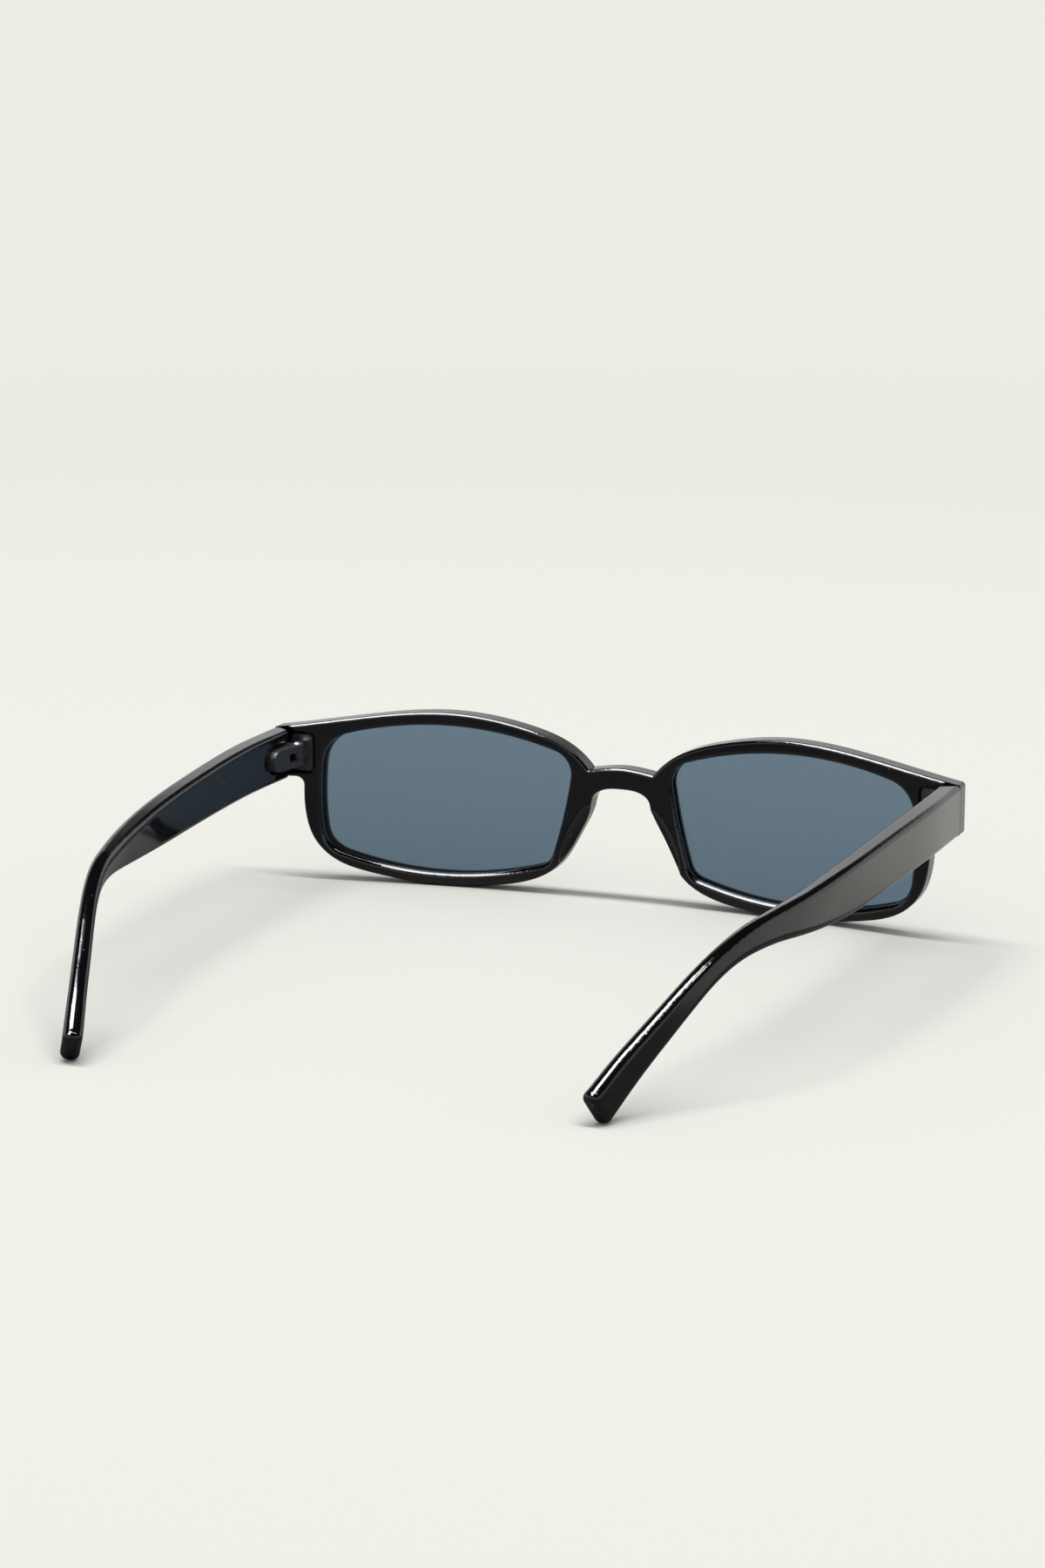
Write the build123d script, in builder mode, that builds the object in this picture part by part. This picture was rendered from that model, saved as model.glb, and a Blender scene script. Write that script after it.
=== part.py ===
"""Narrow rectangle sunglasses: a moulded front with two lenses and two folding temples.

Units are millimetres. X runs across the face (+X is the wearer's left), Y runs from the
front of the glasses to the temple tips and Z is up. The glasses stand open on their lower
rims and temple tips, as on a table, with the origin under the middle of their box.
"""
from build123d import *
from math import cos, hypot, radians, sin, sqrt
import os

# Lens openings and rims
opening_width = 48.7
opening_height = 28.0
bridge_gap = 20.2
rim_side_width = 3.3
rim_edge_width = 2.87
outer_top_radius = 6.5
outer_low_radius = 5.5
nose_low_radius = 3.5
nose_top_radius = 4.5
opening_edge_radius = 0.85

# Front moulding
front_thickness = 4.2
face_curve_radius = 294.0
bridge_rise = 0.754
bridge_depth = 4.05
end_piece_reach = 5.5
end_piece_height = 9.5
end_piece_drop = 9.09
end_corner_radius = 0.7
armpit_radius = 1.6
outline_edge_radius = 0.55
surface_tolerance = 0.005

# Lenses and their grooves
lens_thickness = 1.9
lens_inset = 1.5
groove_depth = 0.8
lens_clearance = 0.05

# Nose pads, moulded with the rims
pad_length = 13.5
pad_width = 4.2
pad_depth = 3.6
pad_slant = -25.0

# Temples
temple_front_height = 9.4
temple_front_thickness = 4.0
temple_reach = 128.2
temple_inset = 20.0
temple_edge_radius = 0.8
tip_height = 6.4
tip_thickness = 3.2
tip_corner_radius = 1.4
tip_edge_radius = 1.15
tip_drop_angle = 30.0
tip_turn_angle = 19.5
tip_twist_angle = 12.0
temple_end_flat = 0.8
temple_mitre_depth = 2.5
temple_gap = 0.15
temple_span_count = 20

# Hinges
land_width = 4.0
pin_stand_off = 1.4
pin_setback = 1.35
knuckle_radius = 1.25
screw_radius = 0.6
screw_head_radius = 0.95
screw_head_height = 0.45
screw_slot_width = 0.25
screw_slot_depth = 0.2
arm_height = 1.25
tongue_height = 1.5
hinge_gap = 0.05
bore_clearance = 0.04
leaf_thickness = 1.3
pad_plate_length = 9.2
pad_plate_thickness = 1.8
pad_plate_sink = 1.0
arm_length = 5.6
moat_width = 0.7
pocket_width = 5.4
pocket_height = 8.2
pocket_depth = 1.9
pocket_radius = 1.5
leaf_margin = 0.6

# Every cutting body runs past the faces that it cuts by this much
overrun = 6.0

# Outline points, as shares of the rim's half width and half height about the lens centre
rim_top_shares = [(-1.014, 0.455), (-0.852, 0.69), (-0.56, 0.87), (-0.033, 0.99), (0.49, 0.92)]
rim_low_shares = [
    (0.993, -0.05), (0.978, -0.28), (0.928, -0.52), (0.802, -0.74), (0.49, -0.911), (0.058, -0.9987),
    (-0.341, -0.956), (-0.685, -0.805),
]
nose_side_shares = [(-0.785, -0.69), (-0.841, -0.573), (-0.948, -0.259), (-1.031, 0.06)]
# The opening's corners and the middles of its four sides, as shares of its half sizes
opening_corner_shares = [(-1.02, 0.672), (0.963, 0.745), (0.963, -0.734), (-0.836, -0.784)]
opening_middle_shares = [(0.023, 1.01), (1.0, -0.048), (0.031, -1.03), (-0.942, -0.134)]
pad_centre_share = (-0.93, -0.3)
# Places along an edge at which its surface is looked up
edge_sample_shares = (0, 0.25, 0.5, 1)
# Bridge outline: place along the half gap, then height as a share of the bridge's depth
bridge_top_shares = [(0.5, 0.06)]
bridge_low_shares = [(0.86, 0.45), (0.56, 0.1)]
# Temple stations from the hinge to the bend: place along the reach, inset, centre height above
# the table, section height, section thickness and twist. Each is a share of the temple's reach,
# its inset, the end piece's lift, its front height, its front thickness and its tip's twist.
temple_station_shares = [
    (0.0, 0.0, 1.0, 1.0, 1.0, 0.0),
    (0.14, -0.015, 1.002, 0.985, 1.0, 0.0),
    (0.3, 0.02, 0.982, 0.94, 0.975, 0.1),
    (0.455, 0.075, 0.952, 0.875, 0.96, 0.4),
    (0.57, 0.155, 0.937, 0.73, 0.91, 0.8),
    (0.65, 0.25, 0.934, 0.58, 0.83, 1.1),
    (0.713, 0.345, 0.914, 0.5, 0.77, 1.15),
    (0.76, 0.435, 0.858, 0.45, 0.735, 1.05),
    (0.807, 0.54, 0.75, 0.453, 0.72, 0.95),
    (0.902, 0.77, 0.442, 0.545, 0.76, 0.85),
    (0.95, 0.885, 0.277, 0.605, 0.79, 0.9),
]

# Worked-out places on the front
lens_centre_x = bridge_gap / 2 + opening_width / 2
rim_half_width = opening_width / 2 + rim_side_width
rim_half_height = opening_height / 2 + rim_edge_width
lens_centre_z = rim_half_height
front_half_width = lens_centre_x + rim_half_width + end_piece_reach
notch_height = lens_centre_z + rim_top_shares[0][1] * rim_half_height
bridge_top_height = notch_height + bridge_rise
bridge_low_height = bridge_top_height - bridge_depth
end_piece_lift = lens_centre_z + rim_half_height - end_piece_drop
end_piece_top = end_piece_lift + end_piece_height / 2
end_piece_low = end_piece_lift - end_piece_height / 2


def sag(x, radius=face_curve_radius):
    """Depth of the front's curve behind its middle, at a distance x from the middle."""
    return radius - sqrt(radius**2 - x**2)


# Worked-out places at the hinges
land_x = front_half_width - land_width
land_y = sag(land_x)
temple_start = land_y + temple_gap
inner_face_x = front_half_width - temple_front_thickness
pin_x = inner_face_x - pin_stand_off
pin_y = land_y + pin_setback
fork_height = 2 * arm_height + tongue_height + 2 * hinge_gap


def section_plane(centre, heading, twist):
    """Plane across a temple: its own x points outwards, turned upwards by the twist."""
    outward = heading.cross(Vector(0, 0, 1)).normalized()
    upward = outward.cross(heading)
    lean = radians(twist)
    return Plane(origin=centre, x_dir=outward * cos(lean) + upward * sin(lean), z_dir=heading)


drop = radians(tip_drop_angle)
turn = radians(tip_turn_angle)
tip_heading = Vector(-sin(turn) * cos(drop), cos(turn) * cos(drop), -sin(drop))
tip_frame = section_plane(Vector(0, 0, 0), tip_heading, tip_twist_angle)


def tip_extent(direction):
    """How far the rounded tip reaches in a direction from the middle of its end face."""
    across = abs(tip_frame.x_dir.dot(direction))
    along = abs(tip_frame.y_dir.dot(direction))
    core_thickness = tip_thickness / 2 - tip_corner_radius
    core_height = tip_height / 2 - tip_corner_radius
    rounding = (tip_corner_radius - tip_edge_radius) * hypot(across, along)
    end_rounding = tip_edge_radius * (1 - tip_heading.dot(direction))
    return across * core_thickness + along * core_height + rounding + end_rounding


# The tips just touch the table
tip_centre_z = tip_extent(Vector(0, 0, -1))
tip_share_heights = (tip_centre_z / end_piece_lift, tip_height / temple_front_height)
temple_stations = temple_station_shares + [
    (1.0, 1.0, *tip_share_heights, tip_thickness / temple_front_thickness, 1.0)
]

# The origin lies under the middle of the box, so everything shifts forward by this much
tip_end_y = temple_start + temple_reach + tip_extent(Vector(0, 1, 0))
middle_y = (tip_end_y - front_thickness) / 2


def at_rim(share_x, share_z):
    """Point of the front view placed by shares of the rim's half sizes."""
    return (lens_centre_x + share_x * rim_half_width, lens_centre_z + share_z * rim_half_height)


def at_opening(share_x, share_z, margin):
    """Point of the front view placed by shares of the opening's half sizes and a margin."""
    return (
        lens_centre_x + share_x * (opening_width / 2 + margin),
        lens_centre_z + share_z * (opening_height / 2 + margin),
    )


def mirrored(points):
    """The same points on the other side of the nose, in reverse order."""
    return [(-x, z) for x, z in reversed(points)]


# The front view looks along +Y: sketch x is X and sketch y is Z
front_view = Plane(origin=(0, -middle_y, 0), x_dir=(1, 0, 0), z_dir=(0, -1, 0))
top_view = Plane(origin=(0, -middle_y, 0), x_dir=(1, 0, 0), z_dir=(0, 0, 1))
side_view = Plane(origin=(0, -middle_y, 0), x_dir=(0, 1, 0), z_dir=(1, 0, 0))


def front_outline():
    """Outline of the whole front as a flat face in the front view."""
    notch = at_rim(*rim_top_shares[0])
    top = [at_rim(*share) for share in rim_top_shares]
    low = [at_rim(*share) for share in rim_low_shares + nose_side_shares]
    end_top = (front_half_width, end_piece_top)
    end_low = (front_half_width, end_piece_low)
    armpit = (low[0][0], end_piece_low)
    crown = [
        (share_x * notch[0], bridge_top_height - share_z * bridge_depth)
        for share_x, share_z in bridge_top_shares
    ]
    arch = [
        (share_x * notch[0], bridge_low_height - share_z * bridge_depth)
        for share_x, share_z in bridge_low_shares
    ]
    crown_middle = (0, bridge_top_height)
    arch_middle = (0, bridge_low_height)
    with BuildSketch() as outline:
        with BuildLine():
            Spline(mirrored([notch]) + mirrored(crown) + [crown_middle] + crown + [notch])
            Spline(top + [end_top])
            Polyline(end_top, end_low, armpit, low[0])
            Spline(low + arch + [arch_middle] + mirrored(low + arch))
            Polyline(mirrored([end_top, end_low, armpit, low[0]]))
            Spline(mirrored(top + [end_top]))
        make_face()
        ends = outline.vertices().filter_by(lambda vertex: abs(vertex.X) > land_x)
        fillet(ends, end_corner_radius)
        for side in (1, -1):
            nearest = outline.vertices().sort_by_distance((side * armpit[0], armpit[1], 0))
            fillet(nearest[0], armpit_radius)
    return outline.sketch


def opening_outline(side, margin=0):
    """One lens opening as a flat face, four arcs with rounded corners, grown by a margin."""
    corners = [at_opening(*share, margin) for share in opening_corner_shares]
    middles = [at_opening(*share, margin) for share in opening_middle_shares]
    radii = [nose_top_radius, outer_top_radius, outer_low_radius, nose_low_radius]
    with BuildSketch() as opening:
        with BuildLine():
            for index, middle in enumerate(middles):
                ThreePointArc(corners[index], middle, corners[(index + 1) % len(corners)])
        make_face()
        for corner, radius in zip(corners, radii):
            fillet(opening.vertices().sort_by_distance((corner[0], corner[1], 0))[0], radius + margin)
    if side < 0:
        return mirror(opening.sketch, about=Plane.YZ)
    return opening.sketch


def curved_layer(near, far):
    """Region between two surfaces that follow the front's curve, seen from above.

    Both depths are measured forwards from the rear surface at the middle of the front.
    """
    reach = front_half_width + overrun
    near_radius = face_curve_radius + near
    far_radius = face_curve_radius + far
    near_end = (reach, sag(reach, near_radius) - near)
    far_end = (reach, sag(reach, far_radius) - far)
    with BuildSketch() as layer:
        with BuildLine():
            ThreePointArc((-near_end[0], near_end[1]), (0, -near), near_end)
            Line(near_end, far_end)
            ThreePointArc(far_end, (0, -far), (-far_end[0], far_end[1]))
            Line((-far_end[0], far_end[1]), (-near_end[0], near_end[1]))
        make_face()
    return layer.sketch


def front_section():
    """The front seen from above: curved, with a flat land for each temple's end."""
    end_depth = sag(front_half_width, face_curve_radius + front_thickness) - front_thickness
    end_front = (front_half_width, end_depth)
    land_end = (front_half_width, land_y)
    land_start = (land_x, land_y)
    with BuildSketch() as section:
        with BuildLine():
            ThreePointArc((-land_start[0], land_y), (0, 0), land_start)
            Polyline(land_start, land_end, end_front)
            ThreePointArc(end_front, (0, -front_thickness), (-end_front[0], end_front[1]))
            Polyline(mirrored([land_start, land_end, end_front]))
        make_face()
    return section.sketch


def lens_blank(side, clearance=0):
    """The curved disc that fills one lens groove, less a clearance all round."""
    with BuildPart() as blank:
        with BuildSketch(behind_view):
            add(opening_outline(side, groove_depth - clearance))
        extrude(amount=2 * front_reach)
        with BuildSketch(floor_view):
            near = lens_inset + clearance
            add(curved_layer(near, near + lens_thickness))
        extrude(amount=front_rise, mode=Mode.INTERSECT)
    return blank.part


def groove_blank(side):
    """The cutter for one lens groove."""
    with BuildPart() as blank:
        with BuildSketch(behind_view):
            add(opening_outline(side, groove_depth))
        extrude(amount=2 * front_reach)
        with BuildSketch(floor_view):
            add(curved_layer(lens_inset, lens_inset + lens_thickness + 2 * lens_clearance))
        extrude(amount=front_rise, mode=Mode.INTERSECT)
    return blank.part


def nose_pad(side):
    """A smooth swelling on the rim's nose side, clear of the rounded lens opening."""
    centre = at_rim(*pad_centre_share)
    proportions = (pad_width / pad_length, pad_depth / pad_length, 1)
    with BuildPart() as pad:
        ball = Sphere(pad_length / 2, mode=Mode.PRIVATE)
        swelling = Rot(0, pad_slant, 0) * scale(ball, by=proportions, mode=Mode.PRIVATE)
        add(Pos(centre[0], sag(centre[0]) - middle_y, centre[1]) * swelling)
    if side < 0:
        return mirror(pad.part, about=Plane.YZ)
    return pad.part


def lies_on(edge, near):
    """Whether an edge runs along the curved surface at a depth in front of the rear one."""
    for place in edge_sample_shares:
        point = edge @ place
        x = min(abs(point.X), front_half_width)
        surface_y = sag(x, face_curve_radius + near) - near - middle_y
        if abs(point.Y - surface_y) > surface_tolerance:
            return False
    return True


def rings_opening(edge):
    """Whether an edge runs round a lens opening rather than along the outline."""
    point = edge @ 0.5
    gap_x = abs(abs(point.X) - lens_centre_x) - opening_width / 2
    gap_z = abs(point.Z - lens_centre_z) - opening_height / 2
    return gap_x < rim_side_width / 2 and gap_z < rim_edge_width / 2


def station_slope(index, column):
    """How fast one of the shares changes along the temple at a station."""
    before = temple_stations[max(index - 1, 0)]
    after = temple_stations[min(index + 1, len(temple_stations) - 1)]
    return (after[column] - before[column]) / (after[0] - before[0])


def temple_shares(place):
    """The shares of a section at any place along the temple, smooth between the stations."""
    index = sum(station[0] <= place for station in temple_stations[1:-1])
    low, high = temple_stations[index], temple_stations[index + 1]
    gap = high[0] - low[0]
    along = (place - low[0]) / gap
    shares = []
    for column in range(1, len(low)):
        change = high[column] - low[column]
        start_bend = station_slope(index, column) * gap - change
        end_bend = change - station_slope(index + 1, column) * gap
        bend = (1 - along) * start_bend + along * end_bend
        shares.append(low[column] + along * change + along * (1 - along) * bend)
    return shares


def temple_sections():
    """Plane, sizes and corner radius of the left temple's even sections, hinge end first."""
    centre_x = front_half_width - temple_front_thickness / 2
    places = [index / temple_span_count for index in range(temple_span_count + 1)]
    shares = [temple_shares(place) for place in places]
    centres = [
        Vector(
            centre_x - inset * temple_inset,
            temple_start - middle_y + place * temple_reach,
            rise * end_piece_lift,
        )
        for place, (inset, rise, *_) in zip(places, shares)
    ]
    chords = [(after - before).normalized() for before, after in zip(centres, centres[2:])]
    headings = [Vector(0, 1, 0)] + chords + [tip_heading]
    sections = []
    for place, centre, heading, (_, _, height, thickness, twist) in zip(places, centres, headings, shares):
        plane = section_plane(centre, heading, twist * tip_twist_angle)
        sizes = (thickness * temple_front_thickness, height * temple_front_height)
        radius = temple_edge_radius + place * (tip_corner_radius - temple_edge_radius)
        sections.append((plane, *sizes, radius))
    return sections


def show(name, piece):
    """Label a finished piece and write it out."""
    piece.part.label = name
    export_step(piece.part, f"parts/{name}.step")


os.makedirs("parts", exist_ok=True)

front_reach = front_thickness + sag(front_half_width) + overrun
front_rise = 2 * rim_half_height + 2 * overrun
behind_view = front_view.offset(-front_reach)
floor_view = top_view.offset(-overrun)

# Front moulding
pads = [nose_pad(side) for side in (1, -1)]
grooves = [groove_blank(side) for side in (1, -1)]
with BuildPart() as front_frame:
    with BuildSketch(behind_view):
        add(front_outline())
        for side in (1, -1):
            add(opening_outline(side), mode=Mode.SUBTRACT)
    extrude(amount=2 * front_reach)
    with BuildSketch(floor_view):
        add(front_section())
    extrude(amount=front_rise, mode=Mode.INTERSECT)
    for near in (0, front_thickness):
        skin_edges = front_frame.edges().filter_by(lambda edge: lies_on(edge, near))
        fillet(skin_edges.filter_by(rings_opening, reverse=True), outline_edge_radius)
    for side in (1, -1):
        rear_edges = front_frame.edges().filter_by(lambda edge: lies_on(edge, 0))
        opening_edges = rear_edges.filter_by(rings_opening)
        fillet(opening_edges.filter_by(lambda edge: side * (edge @ 0.5).X > 0), opening_edge_radius)
    for pad in pads:
        add(pad)
    for groove in grooves:
        add(groove, mode=Mode.SUBTRACT)
    with BuildSketch(front_view.offset(pocket_depth - land_y)):
        with Locations((pin_x, end_piece_lift), (-pin_x, end_piece_lift)):
            RectangleRounded(pocket_width, pocket_height, pocket_radius)
    extrude(amount=-overrun, mode=Mode.SUBTRACT)
show("front_frame", front_frame)

# Lenses
with BuildPart() as left_lens:
    add(lens_blank(1, lens_clearance))
show("left_lens", left_lens)
with BuildPart() as right_lens:
    add(lens_blank(-1, lens_clearance))
show("right_lens", right_lens)

# Hinge leaf that sits in the front's pocket and carries the tongue
pocket_floor = land_y - pocket_depth
leaf_rear = pocket_floor + leaf_thickness
with BuildPart() as left_front_hinge_leaf:
    with BuildSketch(front_view.offset(-pocket_floor)):
        with Locations((pin_x, end_piece_lift)):
            RectangleRounded(
                pocket_width - 2 * leaf_margin, pocket_height - 2 * leaf_margin, pocket_radius - leaf_margin
            )
    extrude(amount=-leaf_thickness)
    with BuildSketch(top_view.offset(end_piece_lift)):
        with Locations((pin_x, pin_y)):
            Circle(knuckle_radius)
        with Locations((pin_x, (leaf_rear + pin_y) / 2)):
            Rectangle(2 * knuckle_radius, pin_y - leaf_rear)
    extrude(amount=tongue_height / 2, both=True)
    with BuildSketch(top_view.offset(end_piece_lift)):
        with Locations((pin_x, pin_y)):
            Circle(screw_radius + bore_clearance)
    extrude(amount=fork_height, both=True, mode=Mode.SUBTRACT)
show("left_front_hinge_leaf", left_front_hinge_leaf)
with BuildPart() as right_front_hinge_leaf:
    add(mirror(left_front_hinge_leaf.part, about=Plane.YZ))
show("right_front_hinge_leaf", right_front_hinge_leaf)

# Temples
plate_face_x = inner_face_x + pad_plate_sink
plate_end_y = pin_y + pad_plate_length
plate_turn_y = plate_end_y - fork_height / 2
plate_start_y = pin_y - knuckle_radius
mitre_reach = temple_front_thickness - temple_end_flat
mitre_start_x = front_half_width - temple_end_flat
with BuildPart() as left_temple:
    for plane, thickness, height, radius in temple_sections():
        with BuildSketch(plane):
            RectangleRounded(thickness, height, radius)
    loft()
    tip_face = left_temple.faces().sort_by(Axis.Y)[-1]
    fillet(tip_face.edges(), tip_edge_radius)
    with BuildSketch(floor_view):
        with BuildLine():
            mitre_end_x = mitre_start_x - 2 * mitre_reach
            mitre_end = (mitre_end_x, temple_start + 2 * temple_mitre_depth)
            Polyline((mitre_start_x, temple_start), mitre_end, (mitre_end_x, temple_start), close=True)
        make_face()
    extrude(amount=front_rise, mode=Mode.SUBTRACT)
    with BuildSketch(side_view.offset(plate_face_x)):
        with Locations(((pin_y - overrun + plate_turn_y) / 2, end_piece_lift)):
            Rectangle(plate_turn_y - pin_y + overrun, fork_height + 2 * moat_width)
        with Locations((plate_turn_y, end_piece_lift)):
            Circle(fork_height / 2 + moat_width)
    extrude(amount=-overrun, mode=Mode.SUBTRACT)
show("left_temple", left_temple)
with BuildPart() as right_temple:
    add(mirror(left_temple.part, about=Plane.YZ))
show("right_temple", right_temple)

# Hinge leaf that sits in the temple's recess and forks around the tongue
with BuildPart() as left_temple_hinge_leaf:
    with BuildSketch(top_view.offset(end_piece_lift)):
        with Locations((pin_x, pin_y)):
            Circle(knuckle_radius)
        with Locations((plate_face_x - pad_plate_thickness / 2, (pin_y + plate_end_y) / 2)):
            Rectangle(pad_plate_thickness, plate_end_y - pin_y)
        make_hull()
    extrude(amount=fork_height / 2, both=True)
    with BuildSketch(side_view.offset(pin_x)):
        with Locations(((plate_start_y + plate_turn_y) / 2, end_piece_lift)):
            Rectangle(plate_turn_y - plate_start_y, fork_height)
        with Locations((plate_turn_y, end_piece_lift)):
            Circle(fork_height / 2)
    extrude(amount=overrun, both=True, mode=Mode.INTERSECT)
    with BuildSketch(side_view.offset(pin_x)):
        with Locations((plate_start_y + (arm_length - overrun) / 2, end_piece_lift)):
            Rectangle(arm_length + overrun, tongue_height + 2 * hinge_gap)
    extrude(amount=overrun, both=True, mode=Mode.SUBTRACT)
    with BuildSketch(top_view.offset(end_piece_lift)):
        with Locations((pin_x, pin_y)):
            Circle(screw_radius + bore_clearance)
    extrude(amount=fork_height, both=True, mode=Mode.SUBTRACT)
show("left_temple_hinge_leaf", left_temple_hinge_leaf)
with BuildPart() as right_temple_hinge_leaf:
    add(mirror(left_temple_hinge_leaf.part, about=Plane.YZ))
show("right_temple_hinge_leaf", right_temple_hinge_leaf)

# Hinge screws, head up
head_seat = end_piece_lift + fork_height / 2
with BuildPart() as left_hinge_screw:
    with BuildSketch(top_view.offset(head_seat)):
        with Locations((pin_x, pin_y)):
            Circle(screw_radius)
    extrude(amount=-fork_height)
    with BuildSketch(top_view.offset(head_seat)):
        with Locations((pin_x, pin_y)):
            Circle(screw_head_radius)
    extrude(amount=screw_head_height)
    with BuildSketch(top_view.offset(head_seat + screw_head_height)):
        with Locations((pin_x, pin_y)):
            Rectangle(2 * screw_head_radius, screw_slot_width)
    extrude(amount=-screw_slot_depth, mode=Mode.SUBTRACT)
show("left_hinge_screw", left_hinge_screw)
with BuildPart() as right_hinge_screw:
    add(mirror(left_hinge_screw.part, about=Plane.YZ))
show("right_hinge_screw", right_hinge_screw)

everything = Compound(
    children=[
        piece.part
        for piece in (
            front_frame, left_lens, right_lens, left_temple, right_temple,
            left_front_hinge_leaf, right_front_hinge_leaf, left_temple_hinge_leaf,
            right_temple_hinge_leaf, left_hinge_screw, right_hinge_screw,
        )
    ]
)
box = everything.bounding_box()
print("box", [round(value, 3) for value in (*box.min, *box.max)])
print("pin", round(pin_x, 4), round(pin_y - middle_y, 4), "lift", end_piece_lift)
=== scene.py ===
"""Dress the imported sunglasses: finishes, hinge screws, table, studio light and camera.

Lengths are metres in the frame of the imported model. X runs across the face and +X is the
wearer's left, Y runs from the front of the glasses to the temple tips and Z is up.
"""
import logging
import math
from collections.abc import Iterable
from dataclasses import dataclass
from enum import Enum

import bpy
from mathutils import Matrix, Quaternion, Vector


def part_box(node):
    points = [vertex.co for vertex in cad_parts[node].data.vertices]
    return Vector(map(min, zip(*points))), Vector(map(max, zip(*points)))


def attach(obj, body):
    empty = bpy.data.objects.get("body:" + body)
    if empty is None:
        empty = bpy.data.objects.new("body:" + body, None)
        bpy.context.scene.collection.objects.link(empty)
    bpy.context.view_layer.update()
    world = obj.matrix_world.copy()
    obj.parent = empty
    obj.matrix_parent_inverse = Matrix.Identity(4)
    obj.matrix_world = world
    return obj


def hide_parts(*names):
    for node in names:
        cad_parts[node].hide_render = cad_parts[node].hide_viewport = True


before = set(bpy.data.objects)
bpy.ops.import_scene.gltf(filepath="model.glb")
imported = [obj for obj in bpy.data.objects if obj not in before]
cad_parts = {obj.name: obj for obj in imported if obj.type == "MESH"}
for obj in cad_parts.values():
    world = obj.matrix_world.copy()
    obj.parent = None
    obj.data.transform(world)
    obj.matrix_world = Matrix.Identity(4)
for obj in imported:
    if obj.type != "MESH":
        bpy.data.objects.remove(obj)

LOG = logging.getLogger("sunglasses")
MILLIMETRE = 0.001
Colour = tuple[float, float, float]
Socket = bpy.types.NodeSocket


class Side(Enum):
    """The wearer's two sides, each with the name that its nodes start with."""

    LEFT = "left"
    RIGHT = "right"


def four(colour: Colour) -> tuple[float, float, float, float]:
    """The colour with full opacity added."""
    return (*colour, 1.0)


class Wiring:
    """Adds nodes to one node tree, in columns and rows, and joins their sockets."""

    column_width = 200
    row_height = 180

    def __init__(self, tree: bpy.types.NodeTree) -> None:
        """Start with an empty tree.

        Args:
            tree: The shader or geometry tree that gets the nodes.
        """
        self.tree = tree
        self.tree.nodes.clear()

    def add(self, kind: str, column: int, row: int = 0, **settings: object) -> bpy.types.Node:
        """Add one node.

        Args:
            kind: Blender's type name of the node.
            column: Place in the tree from left to right.
            row: Place in the tree from top to bottom.
            settings: The node's own properties by name.

        Returns:
            The new node.
        """
        node = self.tree.nodes.new(kind)
        node.location = (column * self.column_width, -row * self.row_height)
        for name, value in settings.items():
            setattr(node, name, value)
        return node

    def join(self, source: Socket, target: Socket) -> None:
        """Join an output to an input."""
        self.tree.links.new(source, target)

    def maths(
        self,
        operation: str,
        first: Socket | float,
        second: Socket | float,
        column: int,
        row: int = 0,
        clamp: bool = False,
    ) -> Socket:
        """Add a maths node.

        Args:
            operation: The sum to do, such as ADD.
            first: A socket, or a plain number.
            second: A socket, or a plain number.
            column: Place in the tree from left to right.
            row: Place in the tree from top to bottom.
            clamp: Whether the result is kept from 0 to 1.

        Returns:
            The socket with the result.
        """
        node = self.add("ShaderNodeMath", column, row, operation=operation, use_clamp=clamp)
        for index, value in enumerate((first, second)):
            if isinstance(value, Socket):
                self.join(value, node.inputs[index])
            else:
                node.inputs[index].default_value = value
        return node.outputs[0]

    def ramp(
        self,
        value: Socket,
        zero: float,
        one: float,
        column: int,
        row: int = 0,
        shape: str = "SMOOTHSTEP",
    ) -> Socket:
        """Add a node that turns a span of values into 0 to 1.

        Args:
            value: The value to turn.
            zero: The value that becomes 0.
            one: The value that becomes 1.
            column: Place in the tree from left to right.
            row: Place in the tree from top to bottom.
            shape: How the values between the two run, such as LINEAR.

        Returns:
            The socket with the result.
        """
        node = self.add("ShaderNodeMapRange", column, row, interpolation_type=shape)
        node.inputs["From Min"].default_value = zero
        node.inputs["From Max"].default_value = one
        self.join(value, node.inputs["Value"])
        return node.outputs[0]

    def blend(
        self,
        factor: Socket,
        first: Socket | Colour,
        second: Socket | Colour,
        column: int,
        row: int = 0,
    ) -> Socket:
        """Add a node that blends two colours.

        Args:
            factor: 0 for the first colour and 1 for the second.
            first: A socket, or a plain colour.
            second: A socket, or a plain colour.
            column: Place in the tree from left to right.
            row: Place in the tree from top to bottom.

        Returns:
            The socket with the blended colour.
        """
        node = self.add("ShaderNodeMix", column, row, data_type="RGBA")
        self.join(factor, node.inputs["Factor"])
        for name, colour in (("A", first), ("B", second)):
            if isinstance(colour, Socket):
                self.join(colour, node.inputs[name])
            else:
                node.inputs[name].default_value = four(colour)
        return node.outputs["Result"]


def new_group(
    name: str, kind: str, inputs: dict[str, str], outputs: dict[str, str]
) -> bpy.types.NodeTree:
    """Make an empty node group with its sockets.

    Args:
        name: The group's name.
        kind: ShaderNodeTree or GeometryNodeTree.
        inputs: Socket type by socket name.
        outputs: Socket type by socket name.

    Returns:
        The new group.
    """
    tree = bpy.data.node_groups.new(name, kind)
    for socket, socket_type in inputs.items():
        tree.interface.new_socket(name=socket, in_out="INPUT", socket_type=socket_type)
    for socket, socket_type in outputs.items():
        tree.interface.new_socket(name=socket, in_out="OUTPUT", socket_type=socket_type)
    return tree


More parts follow.
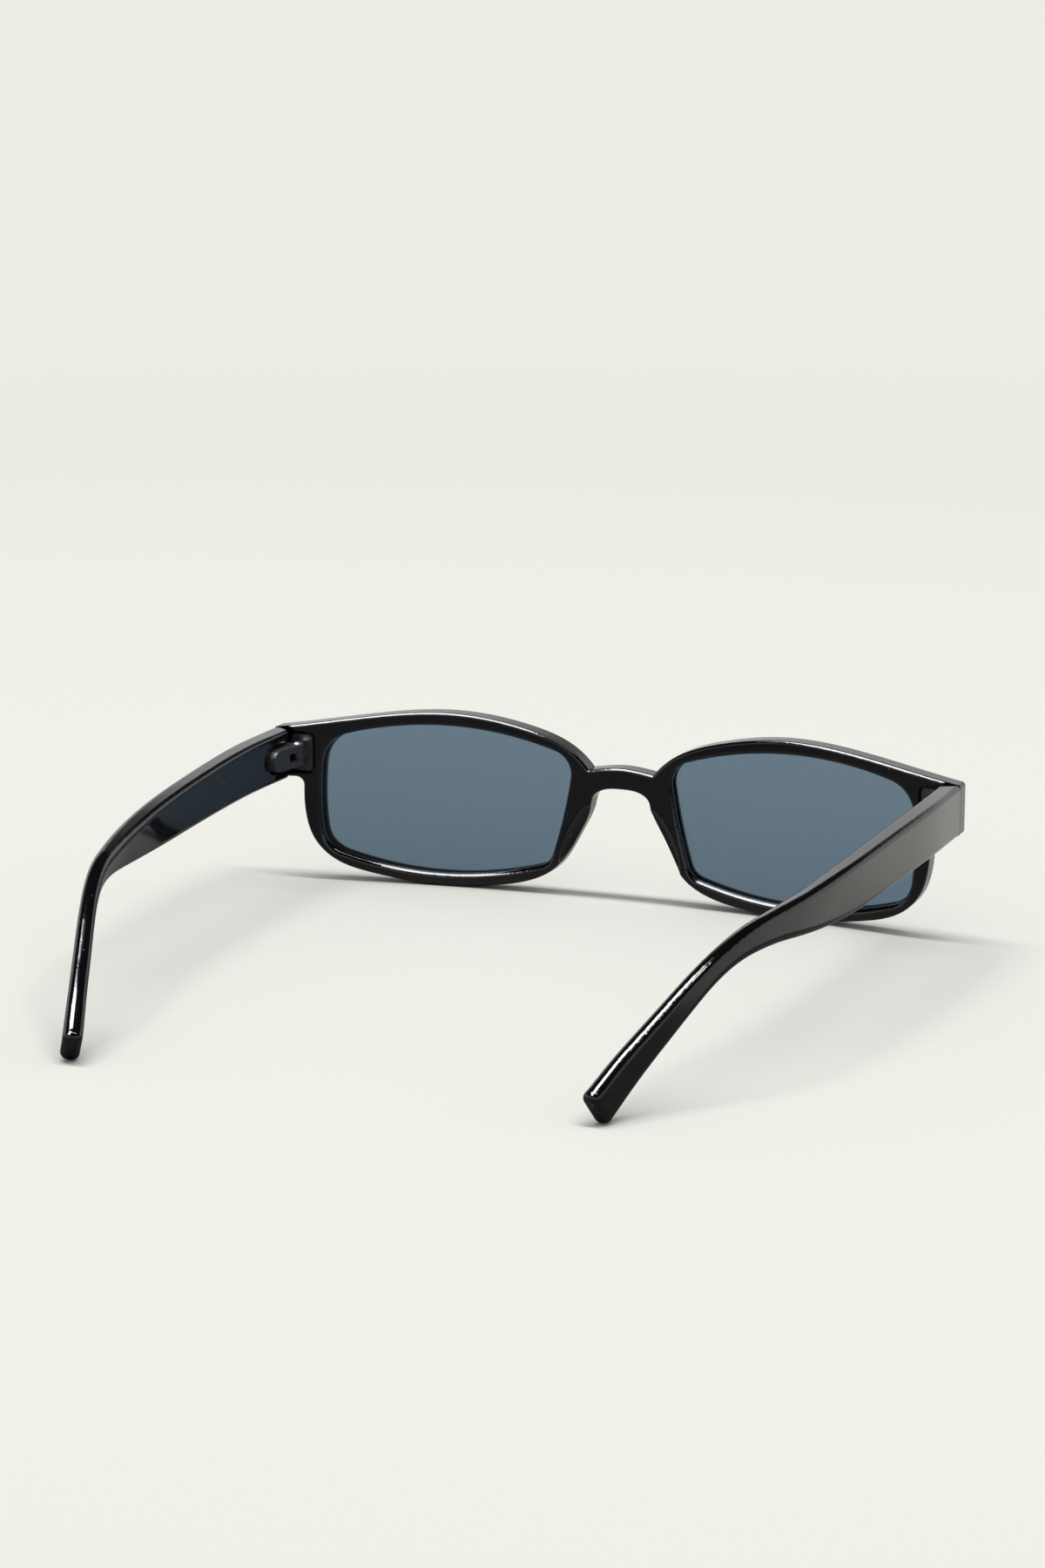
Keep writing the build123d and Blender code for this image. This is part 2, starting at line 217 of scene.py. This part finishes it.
class SurfaceGroups:
    """The shader node groups that several finishes share."""

    haze_detail = 3.0
    haze_start = 0.42
    haze_full = 0.72
    speck_radius = 0.07
    speck_patch_scale = 60.0
    speck_patch_start = 0.56
    speck_roughness = 0.5
    ripple_detail = 2.0
    ripple_strength = 1.0

    def __init__(self) -> None:
        """Build each group once."""
        self.handling = self._handling()
        self.ripple = self._ripple()

    def _handling(self) -> bpy.types.NodeTree:
        """Faint haze from handling and a few dust specks.

        Returns:
            A group that puts out a colour and a roughness.
        """
        value, colour = "NodeSocketFloat", "NodeSocketColor"
        inputs = {
            "Colour": colour, "Roughness": value, "Haze": value, "Haze Scale": value,
            "Dust Colour": colour, "Dust": value, "Dust Scale": value,
        }
        outputs = {"Colour": colour, "Roughness": value}
        tree = new_group("Handling", "ShaderNodeTree", inputs, outputs)
        wiring = Wiring(tree)
        given = wiring.add("NodeGroupInput", 0).outputs
        place = wiring.add("ShaderNodeTexCoord", 0, 2).outputs["Object"]
        haze = wiring.add("ShaderNodeTexNoise", 1)
        haze.inputs["Detail"].default_value = self.haze_detail
        wiring.join(place, haze.inputs["Vector"])
        wiring.join(given["Haze Scale"], haze.inputs["Scale"])
        patch = wiring.ramp(haze.outputs[0], self.haze_start, self.haze_full, 2)
        rise = wiring.maths("MULTIPLY", patch, given["Haze"], 3)
        hazed = wiring.maths("ADD", given["Roughness"], rise, 4)
        specks = wiring.add("ShaderNodeTexVoronoi", 1, 2, feature="F1")
        wiring.join(place, specks.inputs["Vector"])
        wiring.join(given["Dust Scale"], specks.inputs["Scale"])
        near = wiring.maths("LESS_THAN", specks.outputs["Distance"], self.speck_radius, 2, 2)
        patches = wiring.add("ShaderNodeTexNoise", 1, 3)
        patches.inputs["Scale"].default_value = self.speck_patch_scale
        wiring.join(place, patches.inputs["Vector"])
        some = wiring.maths("GREATER_THAN", patches.outputs[0], self.speck_patch_start, 2, 3)
        speck = wiring.maths("MULTIPLY", near, some, 3, 2)
        dust = wiring.maths("MULTIPLY", speck, given["Dust"], 4, 2, clamp=True)
        dusty = wiring.maths("MULTIPLY", dust, self.speck_roughness, 5)
        result = wiring.add("NodeGroupOutput", 7).inputs
        dusted = wiring.blend(dust, given["Colour"], given["Dust Colour"], 5, 1)
        wiring.join(dusted, result["Colour"])
        wiring.join(wiring.maths("ADD", hazed, dusty, 6, clamp=True), result["Roughness"])
        return tree

    def _ripple(self) -> bpy.types.NodeTree:
        """The slight unevenness of a polished or coated surface.

        Returns:
            A group that puts out a normal.
        """
        inputs = {"Scale": "NodeSocketFloat", "Height": "NodeSocketFloat"}
        tree = new_group("Ripple", "ShaderNodeTree", inputs, {"Normal": "NodeSocketVector"})
        wiring = Wiring(tree)
        given = wiring.add("NodeGroupInput", 0).outputs
        place = wiring.add("ShaderNodeTexCoord", 0, 1).outputs["Object"]
        noise = wiring.add("ShaderNodeTexNoise", 1)
        noise.inputs["Detail"].default_value = self.ripple_detail
        wiring.join(place, noise.inputs["Vector"])
        wiring.join(given["Scale"], noise.inputs["Scale"])
        bump = wiring.add("ShaderNodeBump", 2)
        bump.inputs["Strength"].default_value = self.ripple_strength
        wiring.join(given["Height"], bump.inputs["Distance"])
        wiring.join(noise.outputs[0], bump.inputs["Height"])
        result = wiring.add("NodeGroupOutput", 3).inputs
        wiring.join(bump.outputs["Normal"], result["Normal"])
        return tree


@dataclass(frozen=True)
class SolidFinish:
    """An opaque finish: moulded plastic, coated metal or turned steel."""

    name: str
    colour: Colour
    roughness: float
    metallic: float = 0.0
    reflection: float = 0.5
    haze: float = 0.06
    haze_scale: float = 70.0
    dust: float = 0.35
    dust_scale: float = 420.0
    dust_colour: Colour = (0.2, 0.2, 0.2)
    ripple_scale: float = 160.0
    ripple_height: float = 0.004 * MILLIMETRE

    def build(self, groups: SurfaceGroups) -> bpy.types.Material:
        """Make the material.

        Args:
            groups: The shared surface groups.

        Returns:
            The finished material.
        """
        material = bpy.data.materials.new(self.name)
        material.use_nodes = True
        wiring = Wiring(material.node_tree)
        shader = wiring.add("ShaderNodeBsdfPrincipled", 3)
        shader.inputs["Metallic"].default_value = self.metallic
        shader.inputs["Specular IOR Level"].default_value = self.reflection
        handling = wiring.add("ShaderNodeGroup", 2, node_tree=groups.handling)
        handling.inputs["Colour"].default_value = four(self.colour)
        handling.inputs["Roughness"].default_value = self.roughness
        handling.inputs["Haze"].default_value = self.haze
        handling.inputs["Haze Scale"].default_value = self.haze_scale
        handling.inputs["Dust"].default_value = self.dust
        handling.inputs["Dust Scale"].default_value = self.dust_scale
        handling.inputs["Dust Colour"].default_value = four(self.dust_colour)
        wiring.join(handling.outputs["Colour"], shader.inputs["Base Color"])
        wiring.join(handling.outputs["Roughness"], shader.inputs["Roughness"])
        ripple = wiring.add("ShaderNodeGroup", 2, 2, node_tree=groups.ripple)
        ripple.inputs["Scale"].default_value = self.ripple_scale
        ripple.inputs["Height"].default_value = self.ripple_height
        wiring.join(ripple.outputs["Normal"], shader.inputs["Normal"])
        output = wiring.add("ShaderNodeOutputMaterial", 5)
        wiring.join(shader.outputs[0], output.inputs["Surface"])
        return material


@dataclass(frozen=True)
class TintFinish:
    """A clear tint whose colour is a little darker towards the lens's lower edge."""

    name: str
    high_colour: Colour
    low_colour: Colour
    high: float
    low: float
    transmission: float = 1.0
    roughness: float = 0.0
    refraction: float = 1.5

    def build(self) -> bpy.types.Material:
        """Make the material.

        Returns:
            The finished material.
        """
        material = bpy.data.materials.new(self.name)
        material.use_nodes = True
        wiring = Wiring(material.node_tree)
        shader = wiring.add("ShaderNodeBsdfPrincipled", 4)
        shader.inputs["Transmission Weight"].default_value = self.transmission
        shader.inputs["IOR"].default_value = self.refraction
        shader.inputs["Roughness"].default_value = self.roughness
        place = wiring.add("ShaderNodeTexCoord", 0).outputs["Object"]
        split = wiring.add("ShaderNodeSeparateXYZ", 1)
        wiring.join(place, split.inputs[0])
        rise = wiring.ramp(split.outputs["Z"], self.low, self.high, 2)
        tint = wiring.blend(rise, self.low_colour, self.high_colour, 3)
        wiring.join(tint, shader.inputs["Base Color"])
        output = wiring.add("ShaderNodeOutputMaterial", 5)
        wiring.join(shader.outputs[0], output.inputs["Surface"])
        return material


def dress(piece: bpy.types.Object, material: bpy.types.Material) -> None:
    """Make one material the only one of a piece.

    Args:
        piece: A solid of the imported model, or a new piece.
        material: The material for the whole piece.
    """
    piece.data.materials.clear()
    piece.data.materials.append(material)
    LOG.info("%s wears %s", piece.name, material.name)


def dress_node(name: str, material: bpy.types.Material) -> None:
    """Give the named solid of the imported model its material."""
    dress(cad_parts[name], material)


@dataclass
class MouldedFront:
    """The moulded front with its rims, bridge, end pieces and nose pads."""

    finish: SolidFinish

    def build(self, groups: SurfaceGroups) -> None:
        """Dress the front."""
        dress_node("front_frame", self.finish.build(groups))


@dataclass
class LensPair:
    """The two tinted lenses in the rims' grooves."""

    high_colour: Colour
    low_colour: Colour

    def build(self) -> None:
        """Dress both lenses with one tint that spans their own height."""
        lowest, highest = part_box("left_lens")
        finish = TintFinish(
            "Smoke tint", self.high_colour, self.low_colour, high=highest.z, low=lowest.z
        )
        material = finish.build()
        for side in Side:
            dress_node(f"{side.value}_lens", material)


@dataclass
class TemplePair:
    """The two folding temples with their bent-down tips."""

    finish: SolidFinish

    def build(self, groups: SurfaceGroups) -> None:
        """Dress both temples.

        Args:
            groups: The shared surface groups.
        """
        material = self.finish.build(groups)
        for side in Side:
            dress_node(f"{side.value}_temple", material)


class ScrewTree:
    """Geometry Nodes tree of a slotted screw with a domed head and rings of thread.

    The head's underside lies at zero, and the tree moves the finished screw to its place.
    """

    lengths = (
        "Shank Radius", "Shank Length", "Head Radius", "Head Height", "Slot Width", "Slot Depth",
        "Thread Pitch", "Thread Depth",
    )
    facets = 64
    thread_turns = 4
    thread_corners = 4
    dome_ratio = 1.7
    slot_reach_ratio = 3.0
    smooth_below = math.radians(30.0)

    def __init__(self) -> None:
        """Build the tree."""
        inputs = {name: "NodeSocketFloat" for name in self.lengths}
        inputs |= {"Place": "NodeSocketVector", "Material": "NodeSocketMaterial"}
        outputs = {"Geometry": "NodeSocketGeometry"}
        self.tree = new_group("Hinge screw", "GeometryNodeTree", inputs, outputs)
        self.wiring = wiring = Wiring(self.tree)
        self.given = wiring.add("NodeGroupInput", 0).outputs
        body = wiring.add("GeometryNodeJoinGeometry", 9)
        for part in (self._head(), self._shank(), self._thread()):
            wiring.join(part, body.inputs[0])
        smooth = wiring.add("GeometryNodeSetShadeSmooth", 10, domain="EDGE")
        angle = wiring.add("GeometryNodeInputMeshEdgeAngle", 9, 2).outputs["Unsigned Angle"]
        gentle = wiring.maths("LESS_THAN", angle, self.smooth_below, 10, 2)
        wiring.join(gentle, smooth.inputs["Shade Smooth"])
        wiring.join(body.outputs[0], smooth.inputs["Geometry"])
        placed = wiring.add("GeometryNodeTransform", 11)
        wiring.join(smooth.outputs[0], placed.inputs["Geometry"])
        wiring.join(self.given["Place"], placed.inputs["Translation"])
        real = wiring.add("GeometryNodeRealizeInstances", 12)
        wiring.join(placed.outputs[0], real.inputs[0])
        coloured = wiring.add("GeometryNodeSetMaterial", 13)
        wiring.join(real.outputs[0], coloured.inputs["Geometry"])
        wiring.join(self.given["Material"], coloured.inputs["Material"])
        result = wiring.add("NodeGroupOutput", 14)
        wiring.join(coloured.outputs[0], result.inputs[0])

    def _raised(self, part: Socket, height: Socket, column: int, row: int) -> Socket:
        """Move a part along the screw's axis.

        Args:
            part: The geometry to move.
            height: How far up it goes.
            column: Place in the tree from left to right.
            row: Place in the tree from top to bottom.

        Returns:
            The moved geometry.
        """
        offset = self.wiring.add("ShaderNodeCombineXYZ", column, row + 1)
        self.wiring.join(height, offset.inputs["Z"])
        move = self.wiring.add("GeometryNodeTransform", column + 1, row)
        self.wiring.join(part, move.inputs["Geometry"])
        self.wiring.join(offset.outputs[0], move.inputs["Translation"])
        return move.outputs[0]

    def _cylinder(self, radius: Socket, depth: Socket, column: int, row: int) -> Socket:
        """A cylinder about the screw's axis with its middle at zero.

        Args:
            radius: The cylinder's radius.
            depth: The cylinder's length.
            column: Place in the tree from left to right.
            row: Place in the tree from top to bottom.

        Returns:
            The cylinder's mesh.
        """
        node = self.wiring.add("GeometryNodeMeshCylinder", column, row)
        node.inputs["Vertices"].default_value = self.facets
        self.wiring.join(radius, node.inputs["Radius"])
        self.wiring.join(depth, node.inputs["Depth"])
        return node.outputs["Mesh"]

    def _head(self) -> Socket:
        """The domed head above zero, with its slot cut across.

        Returns:
            The head's mesh.
        """
        wiring, given = self.wiring, self.given
        disc = self._cylinder(given["Head Radius"], given["Head Height"], 1, 0)
        half = wiring.maths("MULTIPLY", given["Head Height"], 0.5, 1, 1)
        disc = self._raised(disc, half, 2, 0)
        ball = wiring.add("GeometryNodeMeshUVSphere", 2, 3)
        ball.inputs["Segments"].default_value = self.facets
        ball.inputs["Rings"].default_value = self.facets
        ball_radius = wiring.maths("MULTIPLY", given["Head Radius"], self.dome_ratio, 1, 3)
        wiring.join(ball_radius, ball.inputs["Radius"])
        ball_height = wiring.maths("SUBTRACT", given["Head Height"], ball_radius, 2, 4)
        dome = self._raised(ball.outputs["Mesh"], ball_height, 3, 3)
        crowned = wiring.add("GeometryNodeMeshBoolean", 5, operation="INTERSECT", solver="EXACT")
        wiring.join(disc, crowned.inputs["Mesh 2"])
        wiring.join(dome, crowned.inputs["Mesh 2"])
        span = wiring.maths("MULTIPLY", given["Head Radius"], self.slot_reach_ratio, 1, 5)
        double_depth = wiring.maths("MULTIPLY", given["Slot Depth"], 2.0, 1, 6)
        size = wiring.add("ShaderNodeCombineXYZ", 2, 6)
        wiring.join(span, size.inputs["X"])
        wiring.join(given["Slot Width"], size.inputs["Y"])
        wiring.join(double_depth, size.inputs["Z"])
        bar = wiring.add("GeometryNodeMeshCube", 3, 6)
        wiring.join(size.outputs[0], bar.inputs["Size"])
        cutter = self._raised(bar.outputs["Mesh"], given["Head Height"], 4, 6)
        slotted = wiring.add("GeometryNodeMeshBoolean", 6, operation="DIFFERENCE", solver="EXACT")
        wiring.join(crowned.outputs["Mesh"], slotted.inputs["Mesh 1"])
        wiring.join(cutter, slotted.inputs["Mesh 2"])
        return slotted.outputs["Mesh"]

    def _shank(self) -> Socket:
        """The plain shank below zero.

        Returns:
            The shank's mesh.
        """
        bar = self._cylinder(self.given["Shank Radius"], self.given["Shank Length"], 1, 8)
        drop = self.wiring.maths("MULTIPLY", self.given["Shank Length"], -0.5, 1, 9)
        return self._raised(bar, drop, 2, 8)

    def _thread(self) -> Socket:
        """Rings of thread near the shank's end, one pitch apart.

        Returns:
            The rings as instances.
        """
        wiring, given = self.wiring, self.given
        path = wiring.add("GeometryNodeCurvePrimitiveCircle", 1, 11)
        path.inputs["Resolution"].default_value = self.facets
        wiring.join(given["Shank Radius"], path.inputs["Radius"])
        ridge = wiring.add("GeometryNodeCurvePrimitiveCircle", 1, 12)
        ridge.inputs["Resolution"].default_value = self.thread_corners
        wiring.join(given["Thread Depth"], ridge.inputs["Radius"])
        ring = wiring.add("GeometryNodeCurveToMesh", 2, 11)
        wiring.join(path.outputs["Curve"], ring.inputs["Curve"])
        wiring.join(ridge.outputs["Curve"], ring.inputs["Profile Curve"])
        step = wiring.add("ShaderNodeCombineXYZ", 2, 13)
        wiring.join(given["Thread Pitch"], step.inputs["Z"])
        line = wiring.add("GeometryNodeMeshLine", 3, 12)
        line.inputs["Count"].default_value = self.thread_turns
        wiring.join(step.outputs[0], line.inputs["Offset"])
        low = wiring.maths("SUBTRACT", given["Thread Pitch"], given["Shank Length"], 3, 14)
        low_line = self._raised(line.outputs["Mesh"], low, 4, 12)
        rings = wiring.add("GeometryNodeInstanceOnPoints", 6, 11)
        wiring.join(low_line, rings.inputs["Points"])
        wiring.join(ring.outputs["Mesh"], rings.inputs["Instance"])
        return rings.outputs["Instances"]


def grown(name: str, tree: bpy.types.NodeTree, values: dict[str, object]) -> bpy.types.Object:
    """Run a Geometry Nodes tree once and keep its result as a plain mesh.

    Args:
        name: The finished piece's name.
        tree: The tree to run.
        values: The tree's inputs by name.

    Returns:
        An object at the origin with no modifier.
    """
    piece = bpy.data.objects.new(name, bpy.data.meshes.new(name))
    bpy.context.scene.collection.objects.link(piece)
    modifier = piece.modifiers.new("tree", "NODES")
    modifier.node_group = tree
    for socket in tree.interface.items_tree:
        if socket.item_type == "SOCKET" and socket.in_out == "INPUT":
            modifier[socket.identifier] = values[socket.name]
    bpy.context.view_layer.update()
    evaluated = piece.evaluated_get(bpy.context.evaluated_depsgraph_get())
    mesh = bpy.data.meshes.new_from_object(evaluated)
    mesh.name = name
    piece.modifiers.remove(modifier)
    piece.data = mesh
    return piece


@dataclass
class HingePair:
    """Both hinges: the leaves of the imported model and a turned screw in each."""

    leaf: SolidFinish
    steel: SolidFinish
    screw_radius: float
    head_radius: float
    head_height: float
    slot_width: float
    slot_depth: float
    thread_pitch: float
    thread_depth: float

    def build(self, groups: SurfaceGroups) -> None:
        """Dress the leaves and put a screw in each hinge.

        Args:
            groups: The shared surface groups.
        """
        coated = self.leaf.build(groups)
        bright = self.steel.build(groups)
        screw_tree = ScrewTree()
        for side in Side:
            dress_node(f"{side.value}_front_hinge_leaf", coated)
            dress_node(f"{side.value}_temple_hinge_leaf", coated)
            self._screw(side, screw_tree, bright)

    def _screw(self, side: Side, screw_tree: ScrewTree, bright: bpy.types.Material) -> None:
        """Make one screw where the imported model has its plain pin.

        Args:
            side: The side of the glasses.
            screw_tree: The tree that makes a screw.
            bright: The screw's material.
        """
        node = f"{side.value}_hinge_screw"
        lowest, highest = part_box(node)
        seat = highest.z - self.head_height
        sizes = {
            "Shank Radius": self.screw_radius, "Shank Length": seat - lowest.z,
            "Head Radius": self.head_radius, "Head Height": self.head_height,
            "Slot Width": self.slot_width, "Slot Depth": self.slot_depth,
            "Thread Pitch": self.thread_pitch, "Thread Depth": self.thread_depth,
            "Place": Vector(((lowest.x + highest.x) / 2, (lowest.y + highest.y) / 2, seat)),
            "Material": bright,
        }
        piece = grown(f"{side.value}_turned_screw", screw_tree.tree, sizes)
        dress(piece, bright)
        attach(piece, f"{side.value}_side")
        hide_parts(node)
        LOG.info("%s stands for %s, %d faces", piece.name, node, len(piece.data.polygons))


@dataclass
class Studio:
    """A pale table that runs out of sight, one long softbox overhead and a pale room.

    What is named mirrored, the ceiling and the canopy are seen only in gloss or through the
    lenses. The mirrored table is dark from a Y on, behind the front. The heights of the
    backdrop, the ceiling and the canopy are the Z of a direction of length 1, and the
    canopy's middle and half sizes are its X and Y.
    """

    pale: Colour = (0.845, 0.842, 0.79)
    table_colour: Colour = (0.86, 0.857, 0.805)
    table_reach: float = 6.0
    table_drop: float = 0.02 * MILLIMETRE
    lit_reach: float = 0.45
    fade_reach: float = 0.9
    fill: float = 0.4
    softbox_length: float = 3.0
    softbox_width: float = 0.32
    softbox_height: float = 2.5
    softbox_power: float = 47.6
    mirrored_table: Colour = (0.2, 0.2, 0.205)
    mirrored_dark_start: float = -0.14
    mirrored_dark_full: float = -0.02
    mirrored_backdrop: Colour = (0.84, 0.84, 0.84)
    backdrop_top: float = 0.3
    ceiling_start: float = 0.5
    ceiling: Colour = (0.02, 0.02, 0.02)
    canopy: Colour = (22.0, 22.0, 22.0)
    canopy_middle: tuple[float, float] = (0.2, 0.26)
    canopy_half_width: float = 0.22
    canopy_half_length: float = 0.44
    canopy_lowest: float = 0.55
    canopy_blur: float = 0.04

    def build(self) -> None:
        """Make the table, the softbox and the room's light."""
        self._table()
        self._softbox()
        self._room()

    def _table(self) -> None:
        """A flat table whose far part fades to the plain background colour."""
        reach = self.table_reach
        outline = [(-reach, -reach), (reach, -reach), (reach, reach), (-reach, reach)]
        mesh = bpy.data.meshes.new("table")
        mesh.from_pydata([(x, y, -self.table_drop) for x, y in outline], [], [(0, 1, 2, 3)])
        table = bpy.data.objects.new("table", mesh)
        bpy.context.scene.collection.objects.link(table)
        dress(table, self._table_material())

    def _table_material(self) -> bpy.types.Material:
        """Matt near the glasses and plain far away, and darker behind the front in gloss.

        Returns:
            The finished material.
        """
        material = bpy.data.materials.new("Pale table")
        material.use_nodes = True
        wiring = Wiring(material.node_tree)
        place = wiring.add("ShaderNodeTexCoord", 0).outputs["Object"]
        length = wiring.add("ShaderNodeVectorMath", 1, operation="LENGTH")
        wiring.join(place, length.inputs[0])
        fade = wiring.ramp(length.outputs["Value"], self.lit_reach, self.fade_reach, 2)
        split = wiring.add("ShaderNodeSeparateXYZ", 0, 2)
        wiring.join(place, split.inputs[0])
        start, full = self.mirrored_dark_start, self.mirrored_dark_full
        behind = wiring.ramp(split.outputs["Y"], start, full, 0, 5)
        paths = wiring.add("ShaderNodeLightPath", 0, 3).outputs
        glossy, through = paths["Is Glossy Ray"], paths["Is Transmission Ray"]
        mirror = wiring.maths("SUBTRACT", glossy, through, 0, 6, clamp=True)
        darker = wiring.maths("MULTIPLY", mirror, behind, 1, 6)
        shade = wiring.blend(darker, self.table_colour, self.mirrored_table, 1, 2)
        lit = wiring.add("ShaderNodeBsdfDiffuse", 2, 2)
        wiring.join(shade, lit.inputs["Color"])
        plain = wiring.add("ShaderNodeEmission", 2, 3)
        plain.inputs["Color"].default_value = four(self.pale)
        mix = wiring.add("ShaderNodeMixShader", 3)
        wiring.join(fade, mix.inputs[0])
        wiring.join(lit.outputs[0], mix.inputs[1])
        wiring.join(plain.outputs[0], mix.inputs[2])
        output = wiring.add("ShaderNodeOutputMaterial", 4)
        wiring.join(mix.outputs[0], output.inputs["Surface"])
        return material

    def _softbox(self) -> None:
        """One long soft light straight above the glasses."""
        lamp = bpy.data.lights.new("softbox", "AREA")
        lamp.shape = "RECTANGLE"
        lamp.size = self.softbox_length
        lamp.size_y = self.softbox_width
        lamp.energy = self.softbox_power
        holder = bpy.data.objects.new("softbox", lamp)
        holder.location = (0.0, 0.0, self.softbox_height)
        bpy.context.scene.collection.objects.link(holder)

    def _room(self) -> None:
        """An even fill for matt surfaces, and a backdrop, a ceiling and a canopy for gloss."""
        world = bpy.data.worlds.new("room")
        bpy.context.scene.world = world
        world.use_nodes = True
        wiring = Wiring(world.node_tree)
        paths = wiring.add("ShaderNodeLightPath", 0).outputs
        direction = wiring.add("ShaderNodeTexCoord", 0, 3).outputs["Generated"]
        split = wiring.add("ShaderNodeSeparateXYZ", 1, 3)
        wiring.join(direction, split.inputs[0])
        way = split.outputs
        rise = wiring.ramp(way["Z"], self.backdrop_top, self.ceiling_start, 2, 3)
        above = wiring.blend(rise, self.mirrored_backdrop, self.ceiling, 3, 3)
        canopy = self._canopy(wiring, way, paths["Diffuse Depth"])
        overhead = wiring.blend(canopy, above, self.canopy, 4, 4)
        glossy, through = paths["Is Glossy Ray"], paths["Is Transmission Ray"]
        seen = wiring.maths("MINIMUM", wiring.maths("ADD", glossy, through, 1), 1.0, 2)
        even: Colour = (self.fill, self.fill, self.fill)
        mirrored = wiring.blend(seen, even, overhead, 4, 2)
        view = wiring.blend(paths["Is Camera Ray"], mirrored, self.pale, 5)
        background = wiring.add("ShaderNodeBackground", 6)
        wiring.join(view, background.inputs["Color"])
        output = wiring.add("ShaderNodeOutputWorld", 7)
        wiring.join(background.outputs[0], output.inputs["Surface"])

    def _canopy(
        self, wiring: Wiring, way: bpy.types.bpy_prop_collection, matt_bounces: Socket
    ) -> Socket:
        """The part of the sky that a bright reflector fills, for rays that no matt surface sent.

        Args:
            wiring: The world's tree.
            way: The X, Y and Z of the ray's direction.
            matt_bounces: How often the ray has left a matt surface.

        Returns:
            A mask from 0 to 1.
        """
        mask = wiring.maths("LESS_THAN", matt_bounces, 0.5, 1, 5)
        blur, lowest = self.canopy_blur, self.canopy_lowest
        spans = zip("XY", self.canopy_middle, (self.canopy_half_width, self.canopy_half_length))
        for row, (axis, middle, half) in enumerate(spans, 6):
            off = wiring.maths("SUBTRACT", way[axis], middle, 2, row)
            far = wiring.maths("ABSOLUTE", off, 0.0, 3, row)
            inside = wiring.ramp(far, half + blur, half, 4, row, shape="LINEAR")
            mask = wiring.maths("MULTIPLY", mask, inside, 5, row)
        high_up = wiring.ramp(way["Z"], lowest - blur, lowest, 4, 8, shape="LINEAR")
        return wiring.maths("MULTIPLY", mask, high_up, 5, 8)


@dataclass
class PhotoCamera:
    """The camera at the photograph's place, turned about the point that it aims at."""

    azimuth: float
    elevation: float
    roll: float
    distance: float
    aim: Vector
    lens: float = 100.0
    sensor: float = 36.0
    nearest: float = 0.01

    def build(self) -> None:
        """Make the camera and choose it for the scene."""
        data = bpy.data.cameras.new("photo_camera")
        data.lens = self.lens
        data.sensor_width = self.sensor
        data.clip_start = self.nearest
        around, up = math.radians(self.azimuth), math.radians(self.elevation)
        level = math.cos(up)
        back = Vector((math.sin(around) * level, -math.cos(around) * level, math.sin(up)))
        camera = bpy.data.objects.new("photo_camera", data)
        camera.location = self.aim + back * self.distance
        camera.rotation_mode = "QUATERNION"
        turned = Quaternion((0.0, 0.0, 1.0), math.radians(self.roll))
        camera.rotation_quaternion = back.to_track_quat("Z", "Y") @ turned
        bpy.context.scene.collection.objects.link(camera)
        bpy.context.scene.camera = camera


def main() -> None:
    """Build every class in order."""
    logging.basicConfig(level=logging.INFO, format="%(name)s: %(message)s")
    bpy.context.scene.view_settings.view_transform = "Standard"
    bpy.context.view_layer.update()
    groups = SurfaceGroups()
    black: Colour = (0.003, 0.003, 0.004)
    MouldedFront(SolidFinish("Polished black moulding", black, roughness=0.06)).build(groups)
    LensPair(high_colour=(0.15, 0.215, 0.285), low_colour=(0.125, 0.185, 0.25)).build()
    TemplePair(SolidFinish("Polished black temple", black, roughness=0.07)).build(groups)
    HingePair(
        leaf=SolidFinish(
            "Satin black coat", (0.03, 0.03, 0.034), roughness=0.32, ripple_scale=900.0
        ),
        steel=SolidFinish(
            "Turned steel", (0.62, 0.62, 0.64), roughness=0.22, metallic=1.0, dust=0.1
        ),
        screw_radius=0.6 * MILLIMETRE,
        head_radius=0.95 * MILLIMETRE,
        head_height=0.45 * MILLIMETRE,
        slot_width=0.25 * MILLIMETRE,
        slot_depth=0.2 * MILLIMETRE,
        thread_pitch=0.25 * MILLIMETRE,
        thread_depth=0.03 * MILLIMETRE,
    ).build(groups)
    Studio().build()
    PhotoCamera(
        azimuth=201.418, elevation=12.722, roll=0.191, distance=0.7651,
        aim=Vector((0.00001, -0.01626, 0.03285)),
    ).build()


if __name__ == "__main__":
    main()
